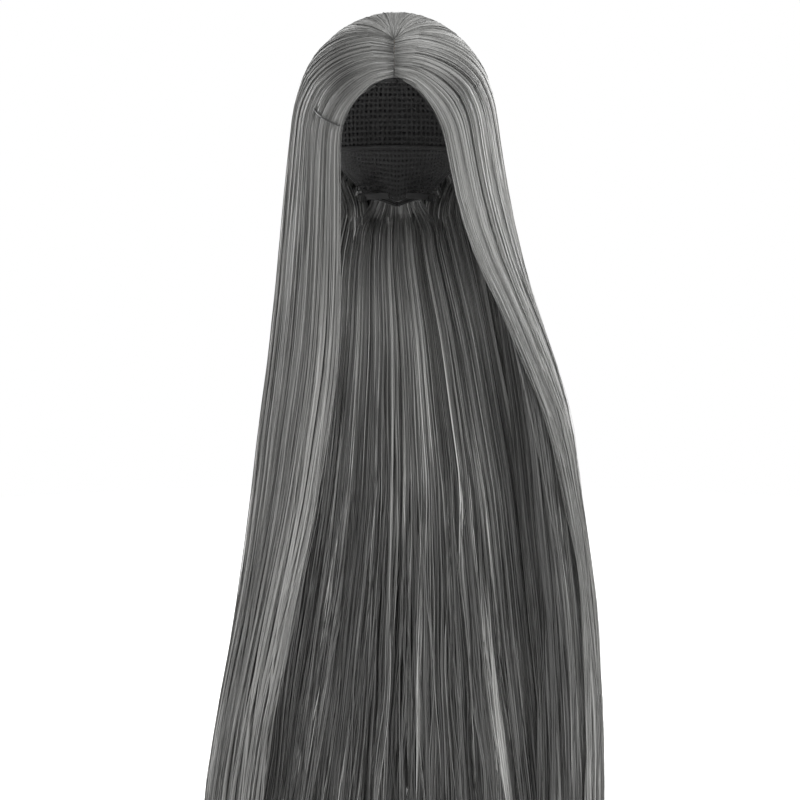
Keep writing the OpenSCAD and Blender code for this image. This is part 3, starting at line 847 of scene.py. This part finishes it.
lattice("nape_lace", nape_map, 34, 11, LACE, ["nape_panel"], 1.06, 0.28, 0.7)


def mirrored(grid, side):
    return grid if side > 0 else grid * np.array([-1.0, 1, 1])


def scallops(share, u):
    return 0.12 * np.sin(u * 2 * np.pi / 2.2) * np.sin(share * np.pi * 3)


cloth("front_lace", panel(-52, 52, edge, along_seam(CAP_EDGE, 4.2), NET_H, 9, 0.7, scallops), 0.6, LACE,
      ["front_band"], 1.02)
cloth("edge_elastic", panel(91, 269, edge, along_seam(CAP_EDGE, 3.2), NET_H + 0.1, 13, 1.0, elastic_ridges(4, 0.28)),
      0.7, ELASTIC, ["edge_binding"], 1.12)
cloth("centre_elastic", strip(72, 221, -2.5, 2.5, RIB_H, 13, 1.5, elastic_ridges(4, 0.22)), 0.6, ELASTIC,
      ["centre_rib"], 1.08)
cloth("parting_film_strip", strip(38.5, 64, -8, 8, RIB_H, 17, 0.8), 0.5, FILM, ["parting_skin"], 1.0)
for side, word in ((1, "left"), (-1, "right")):
    cloth("inner_elastic_" + word, mirrored(strip(72, 206, 24, 29, RIB_H, 13, 1.5, elastic_ridges(4, 0.22)), side), 0.6,
          ELASTIC, ["inner_rib_" + word], 1.08)
    cloth("outer_elastic_" + word, mirrored(strip(62, 194, 50, 55, RIB_H, 13, 1.5, elastic_ridges(4, 0.22)), side), 0.6,
          ELASTIC, ["outer_rib_" + word], 1.08)
    cloth("ear_tab_cloth_" + word, mirrored(panel(61, 89.5, edge, flat_line(6.0), NET_H, 16, 0.7), side), 0.7, LACE,
          ["ear_tab_" + word], 1.0)
    for tape, grid in (
            ("crown", panel(1, 179, along_seam(CROWN_SEAM, -1.5), along_seam(CROWN_SEAM, 1.2), 0.05, 5)),
            ("side", panel(54, 128, along_seam(SIDE_SEAM, -0.9), along_seam(SIDE_SEAM, 1.0), 0.05, 4)),
            ("corner", panel(126.6, 129.4, flat_line(-17.5), flat_line(24.5), 0.05, 18, 0.7))):
        cloth(tape + "_tape_" + word, mirrored(grid, side), 0.3, TAPE, (), 1.05)
cloth("nape_tape", panel(130, 230, flat_line(-13.6), flat_line(-10.8), 0.05, 5), 0.3, TAPE, (), 1.05)


def fluted(seed):
    """The sewn-down roots of a weft row: rounded bunches side by side, a little uneven."""
    phase = np.random.default_rng(seed).uniform(0, 6.28, 4)

    def wave(share, u):
        bunch = 0.16 * np.abs(np.sin(u * 2.4 + phase[0])) + 0.08 * np.sin(u * 5.3 + phase[1] + share * 2)
        return bunch * np.sin(np.pi * (0.15 + 0.7 * share)) + 0.05 * np.sin(u * 0.4 + phase[2])
    return wave


WEFT_ROWS = [(-42, 24), (-33, 38), (-24, 48), (-15, 56), (-6, 62), (4, 66), (14, 118), (24, 124)]
CROWN_ROWS = [(34 + 10 * k, 132 - 10 * k) for k in range(5)]
for k, (v, reach) in enumerate(WEFT_ROWS):
    grid = panel(180 - reach, 180 + reach, flat_line(v - 2), flat_line(v + 2), WEFT_H, 8, 0.45, fluted(k))
    cloth("weft_band_%d" % (k + 1), grid, 1.2, WEFT, ["weft_row_%d" % (k + 1)])
for k, (v, reach) in enumerate(CROWN_ROWS):
    grid = panel(180 - reach, 180 + reach, flat_line(v - 2), flat_line(v + 2), WEFT_H, 8, 0.6, fluted(20 + k))
    cloth("crown_weft_band_%d" % (k + 1), grid, 1.2, WEFT, ["crown_weft_rows"])


def threads(lines, radius, sides=5):
    """Tubes along several lines of points, in one mesh, each closed at its ends."""
    points, faces, base = [], [], 0
    for line in lines:
        along = unit(np.gradient(line, axis=0))
        out = unit(line - np.array([0, 10.0, 0]))
        side = unit(np.cross(along, out))
        up = np.cross(side, along)
        turn = np.arange(sides) * 2 * np.pi / sides
        round_it = np.cos(turn)[None, :, None] * side[:, None] + np.sin(turn)[None, :, None] * up[:, None]
        ring = line[:, None] + radius * round_it
        n = len(line)
        index = base + np.arange(n * sides).reshape(n, sides)
        nxt = np.roll(index, -1, axis=1)
        faces.append(np.stack([index[:-1], nxt[:-1], nxt[1:], index[1:]], -1).reshape(-1, 4))
        caps = np.array([[line[0]], [line[-1]]])
        points.append(np.concatenate([ring.reshape(-1, 3), caps.reshape(-1, 3)]))
        start, end = base + n * sides, base + n * sides + 1
        for a in range(0, sides):
            faces.append(np.array([[start, index[0, (a + 1) % sides], index[0, a], index[0, a]],
                                   [end, index[-1, a], index[-1, (a + 1) % sides], index[-1, (a + 1) % sides]]]))
        base += n * sides + 2
    faces = np.concatenate(faces)
    triangle = faces[:, 2] == faces[:, 3]
    return np.concatenate(points), faces[~triangle], faces[triangle][:, :3]


def thread_mesh(name, lines, radius, material):
    points, quads, triangles = threads(lines, radius)
    both = np.concatenate([quads[:, [0, 1, 2]], quads[:, [0, 2, 3]], triangles])
    obj = mesh_object(name, points * MM, both)
    set_weave(obj, points)
    finish_piece(obj, material)


def zigzag(u0, u1, middle, half_span, h, pitch=1.6):
    count = max(3, int(abs(u1 - u0) / pitch * 2))
    u = np.linspace(u0, u1, count)
    v = middle(u) + half_span * np.where(np.arange(count) % 2, 1, -1)
    fine = np.linspace(0, count - 1, count * 3)
    return cap_point(np.interp(fine, np.arange(count), u), np.interp(fine, np.arange(count), v), np.full(len(fine), h))


seams = []
for side in (1, -1):
    for raised in (-1.1, 0.9):
        seams.append(mirrored(zigzag(2, 178, along_seam(CROWN_SEAM, raised), 0.45, -0.02), side))
    seams.append(mirrored(zigzag(55, 127, along_seam(SIDE_SEAM, 0.1), 0.5, -0.02), side))
    seams.append(mirrored(zigzag(2, 51, along_seam(CAP_EDGE, 0.8), 0.4, 0.2), side))
    seams.append(mirrored(zigzag(93, 179, along_seam(CAP_EDGE, 0.7), 0.5, 0.25), side))
    seams.append(mirrored(zigzag(93, 179, along_seam(CAP_EDGE, 2.5), 0.5, 0.25), side))
    seams.append(mirrored(zigzag(62, 89, along_seam(CAP_EDGE, 1.0), 0.4, 0.2), side))
seams.append(zigzag(132, 228, flat_line(-12.2), 0.6, -0.02))
thread_mesh("seam_stitching", seams, 0.22, THREAD)
rows_of_stitches = []
for v, reach in WEFT_ROWS:
    for shift in (-0.9, 0.9):
        rows_of_stitches.append(zigzag(181 - reach, 179 + reach, flat_line(v + shift), 0.35, WEFT_H - 0.15, 2.4))
thread_mesh("weft_stitching", rows_of_stitches, 0.22, THREAD)

# ---------------------------------------------------------------- nape straps and loops
NAPE_Y, STRAP_R, STRAP_T, STRAP_Z, STRAP_W = 28.0, 38.8, 0.8, -72.0, 6.0
LADDER_R, LADDER_Z, LADDER_W, LADDER_FROM, LADDER_SPAN, LOOPS = 44.4, -63.2, 5.0, 20.0, 44.0, 4


def nape_arc(r, z0, z1, a0, a1, side, across=9, wave=0.0, step=1.0):
    turn = np.linspace(a0, a1, max(2, int((a1 - a0) / step) + 1))[None].repeat(across, 0)
    share = np.linspace(0, 1, across)[:, None] + 0 * turn
    radius = r + wave * (np.abs(np.sin(share * 4 * np.pi)) - 0.5)
    turn = np.radians(turn)
    return np.stack([side * radius * np.sin(turn), NAPE_Y + radius * np.cos(turn), z0 + (z1 - z0) * share], -1)


for side, word in ((1, "left"), (-1, "right")):
    grid = nape_arc(STRAP_R - STRAP_T / 2 + 0.08, STRAP_Z, STRAP_Z + STRAP_W, 14, 76, side, 13, 0.16)
    cloth("nape_strap_elastic_" + word, grid, 0.6, ELASTIC, ["nape_strap_" + word])
    rails = [(LADDER_Z, LADDER_Z + 1.2), (LADDER_Z + LADDER_W - 1.2, LADDER_Z + LADDER_W)]
    points, faces, base = [], [], 0
    blocks = [nape_arc(LADDER_R - 0.4, z0, z1, LADDER_FROM, LADDER_FROM + LADDER_SPAN, side, 5, 0.08)
              for z0, z1 in rails]
    pitch = LADDER_SPAN / LOOPS
    spans = [(0.0, 0.2)] + [(k - 0.2, k + 0.2) for k in range(1, LOOPS)] + [(LOOPS - 0.2, LOOPS)]
    for a, b in spans:
        blocks.append(nape_arc(LADDER_R - 0.36, LADDER_Z + 0.9, LADDER_Z + LADDER_W - 0.9, LADDER_FROM + pitch * a,
                               LADDER_FROM + pitch * b, side, 9, 0.10, 0.5))
    for block in blocks:
        out = unit((block - np.array([0, NAPE_Y, 0])) * np.array([1, 1, 0]))
        p, f = closed_grid(block + out * 0.7, block)
        if side < 0:
            f = f[:, ::-1]
        points.append(p)
        faces.append(f + base)
        base += len(p)
    points, faces = np.concatenate(points), np.concatenate(faces)
    ladder = mesh_object("loop_ladder_elastic_" + word, points * MM, faces)
    set_weave(ladder, points)
    finish_piece(ladder, ELASTIC, ["loop_ladder_" + word])


# ---------------------------------------------------------------- moulded parts, as in the CAD, and the grip
def moulded(name, shade, roughness, grain, speck):
    m = Nodes(name, roughness)
    fine = m.noise(m.place(), 1800.0, 3.0)
    wide = m.noise(m.place(), 80.0, 2.0)
    m.to("Base Color", m.ramp(m.math("ADD", m.math("MULTIPLY", fine, 0.4), m.math("MULTIPLY", wide, 0.6)),
                              [(0.25, shade * (1 - speck)), (0.75, shade * (1 + speck))]))
    m.bump(fine, grain, 0.0001)
    return m.material


HOOK = moulded("hook_plastic_black", 0.035, 0.38, 0.25, 0.3)
STAY = moulded("stay_plastic_clear", 0.62, 0.42, 0.15, 0.12)
LACQUER = moulded("grip_lacquer_black", 0.022, 0.22, 0.12, 0.35)
for word in ("left", "right"):
    for node, material, slot in (("adjuster_hook_" + word, HOOK, "hook_plastic"),
                                 ("ear_tab_stay_" + word, STAY, "stay_plastic")):
        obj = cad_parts[node]
        obj.data.materials.clear()
        obj.data.materials.append(material)

# The grip: one wire, bent round at the front, with a bowed outer leg and a round tip on each leg
LEG_STEPS, WIRE_SIDES = 40, 16
leg = np.linspace(0, 1, LEG_STEPS) * GRIP_LEG
bend = np.radians(np.linspace(0, 180, 15)[1:-1])
reach = np.concatenate([leg[::-1], -GRIP_GAP / 2 * np.sin(bend), leg])
height = np.concatenate([GRIP_GAP / 2 + grip_bow(leg[::-1]), GRIP_GAP / 2 * np.cos(bend),
                         np.full(LEG_STEPS, -GRIP_GAP / 2)])
wire = GRIP_AT + reach[:, None] * GRIP_ALONG + height[:, None] * GRIP_OUT
thickness = np.full(len(wire), GRIP_WIRE / 2)
for at, step in ((0, 1), (-1, -1)):
    for k, size in enumerate((0.35, 0.78, 1.0, 1.0, 0.9)):
        thickness[at + step * k] = size * 1.15 * GRIP_WIRE / 2
upright = np.cross(GRIP_ALONG, GRIP_OUT)
along = unit(np.gradient(wire, axis=0))
flat = unit(np.cross(along, upright))
turn = np.linspace(0, 2 * np.pi, WIRE_SIDES, endpoint=False)
round_it = np.cos(turn)[None, :, None] * upright + np.sin(turn)[None, :, None] * flat[:, None]
ring = wire[:, None] + thickness[:, None, None] * round_it
index = np.arange(len(wire) * WIRE_SIDES).reshape(-1, WIRE_SIDES)
after = np.roll(index, -1, axis=1)
near, far = np.full(WIRE_SIDES, index.size), np.full(WIRE_SIDES, index.size + 1)
faces = np.concatenate([np.stack([index[:-1], after[:-1], after[1:]], -1).reshape(-1, 3),
                        np.stack([index[:-1], after[1:], index[1:]], -1).reshape(-1, 3),
                        np.stack([near, after[0], index[0]], -1), np.stack([far, index[-1], after[-1]], -1)])
grip = mesh_object("hair_grip_wire", np.concatenate([ring.reshape(-1, 3), wire[[0, -1]]]) * MM, faces)
grip.data.materials.append(LACQUER)
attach(grip, "hair_grip")
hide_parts("hair_grip")

# ---------------------------------------------------------------- floor
FLOOR_Z, FLOOR_SIDES = -0.87, 64
ring_r = np.concatenate([[0.0], np.linspace(0.25, 2.5, 10)])[:, None]
turn = np.linspace(0, 2 * np.pi, FLOOR_SIDES, endpoint=False)
rings = np.stack([ring_r * np.cos(turn), ring_r * np.sin(turn), FLOOR_Z + 0 * ring_r * turn], -1)
index = np.arange(ring_r.size * FLOOR_SIDES).reshape(-1, FLOOR_SIDES)
after = np.roll(index, -1, axis=1)
faces = np.stack([index[:-1], index[1:], after[1:], after[:-1]], -1).reshape(-1, 4)
floor = mesh_object("floor", rings, faces)
paper = Nodes("floor_paper", 0.9, Emission_Color=(1, 1, 1, 1), Emission_Strength=0.35)
paper.to("Base Color", paper.ramp(paper.noise(paper.place(), 3.0), [(0.0, 0.90), (1.0, 0.93)]))
floor.data.materials.append(paper.material)
